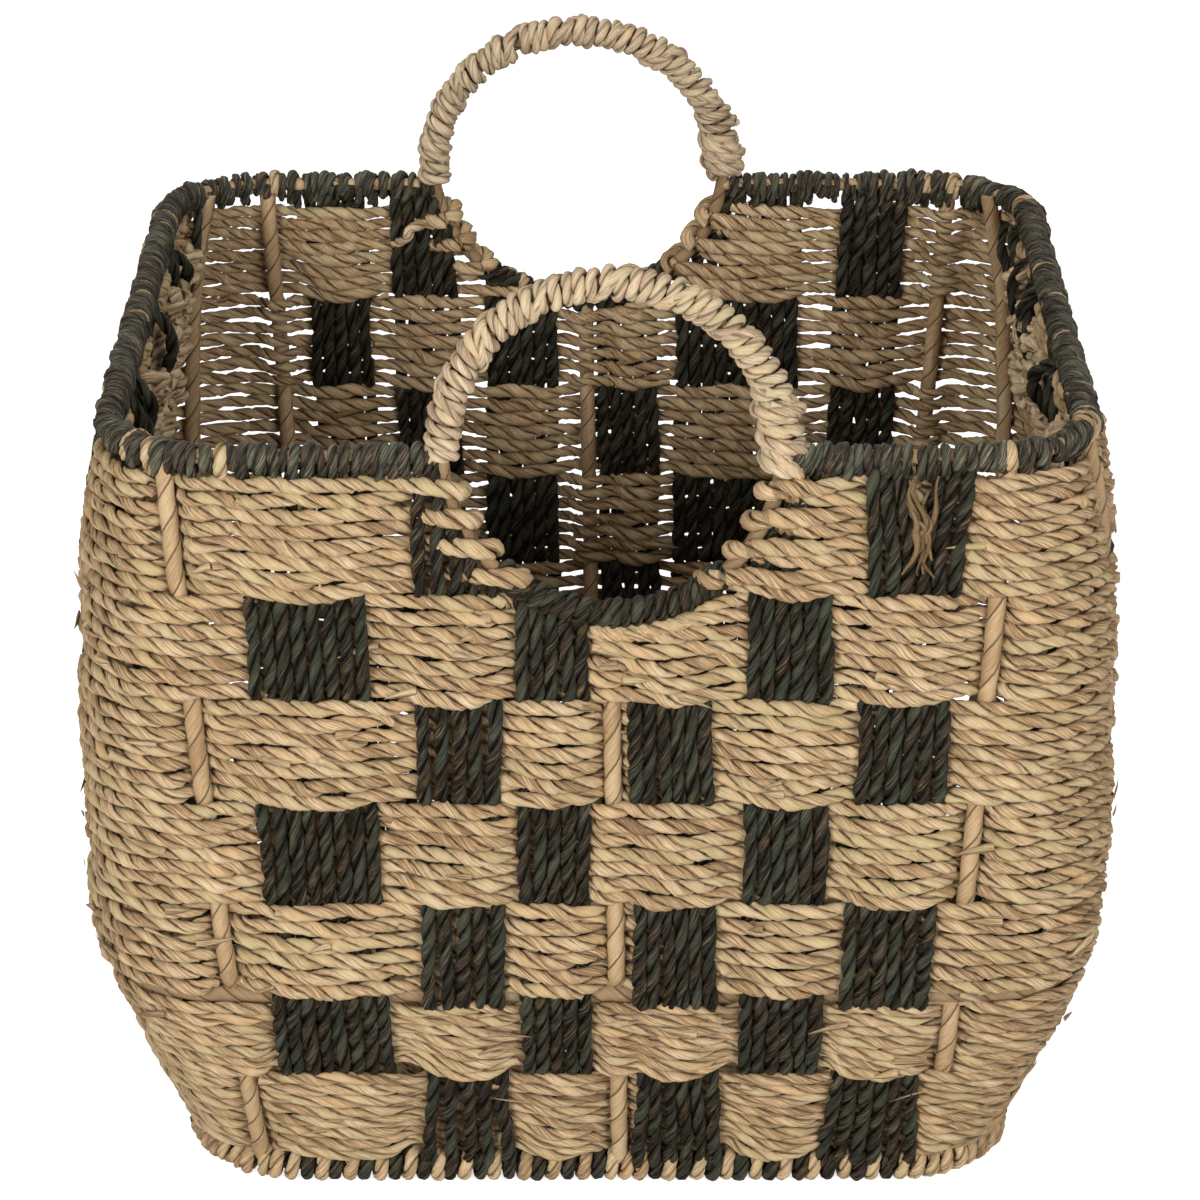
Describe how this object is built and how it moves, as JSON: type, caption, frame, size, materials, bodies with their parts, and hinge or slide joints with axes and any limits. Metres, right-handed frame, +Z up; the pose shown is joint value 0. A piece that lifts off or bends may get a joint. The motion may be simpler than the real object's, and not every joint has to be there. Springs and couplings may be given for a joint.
{
  "type": "magazine basket",
  "caption": "Open woven basket of two-tone seagrass rope on a wrapped wire frame, rounded rectangular, with a round ring handle set into the front and back rim.",
  "frame": {"origin": "on the ground under the middle of the basket", "axes": "+X to the right of the front, +Y to the back, +Z up"},
  "size_m": [0.362, 0.3198, 0.3573],
  "materials": {
    "natural_rope": "twisted natural seagrass leaf, straw and tan, matt with a faint leaf sheen",
    "dark_rope": "twisted seagrass leaf dyed charcoal green with brown and purple flecks",
    "wrapped_rod": "wire upright wrapped tightly in flat tan leaf",
    "wire": "dark brown painted steel wire"
  },
  "bodies": {
    "root": {"rim_wire_left": "wire", "rim_binding_left": "dark_rope", "rim_wire_right": "wire", "rim_binding_right": "dark_rope", "front_ring": "wire", "front_handle_winding": "natural_rope", "front_notch_winding": "dark_rope", "back_ring": "wire", "back_handle_winding": "natural_rope", "back_notch_winding": "dark_rope", "middle_hoop": "wrapped_rod", "bottom_hoop": "wire", "foot_binding": "dark_rope", "base_panel": "natural_rope", "front_rod_left": "wrapped_rod", "front_rod_middle": "wrapped_rod", "front_rod_right": "wrapped_rod", "front_corner_rod": "wrapped_rod", "front_warp_1": "dark_rope", "front_warp_2": "dark_rope", "front_warp_3": "dark_rope", "front_warp_4": "dark_rope", "front_warp_5": "dark_rope", "front_warp_6": "dark_rope", "right_rod_left": "wrapped_rod", "right_rod_right": "wrapped_rod", "right_corner_rod": "wrapped_rod", "right_warp_1": "dark_rope", "right_warp_2": "dark_rope", "right_warp_3": "dark_rope", "right_warp_4": "dark_rope", "right_warp_5": "dark_rope", "right_warp_6": "dark_rope", "back_rod_left": "wrapped_rod", "back_rod_middle": "wrapped_rod", "back_rod_right": "wrapped_rod", "back_corner_rod": "wrapped_rod", "back_warp_1": "dark_rope", "back_warp_2": "dark_rope", "back_warp_3": "dark_rope", "back_warp_4": "dark_rope", "back_warp_5": "dark_rope", "back_warp_6": "dark_rope", "left_rod_left": "wrapped_rod", "left_rod_right": "wrapped_rod", "left_corner_rod": "wrapped_rod", "left_warp_1": "dark_rope", "left_warp_2": "dark_rope", "left_warp_3": "dark_rope", "left_warp_4": "dark_rope", "left_warp_5": "dark_rope", "left_warp_6": "dark_rope", "band_1_left": "natural_rope", "band_1_right": "natural_rope", "band_2": "natural_rope", "band_3": "natural_rope", "band_4": "natural_rope", "band_5": "natural_rope", "band_6": "natural_rope", "band_7": "natural_rope"}
  },
  "joints": []
}
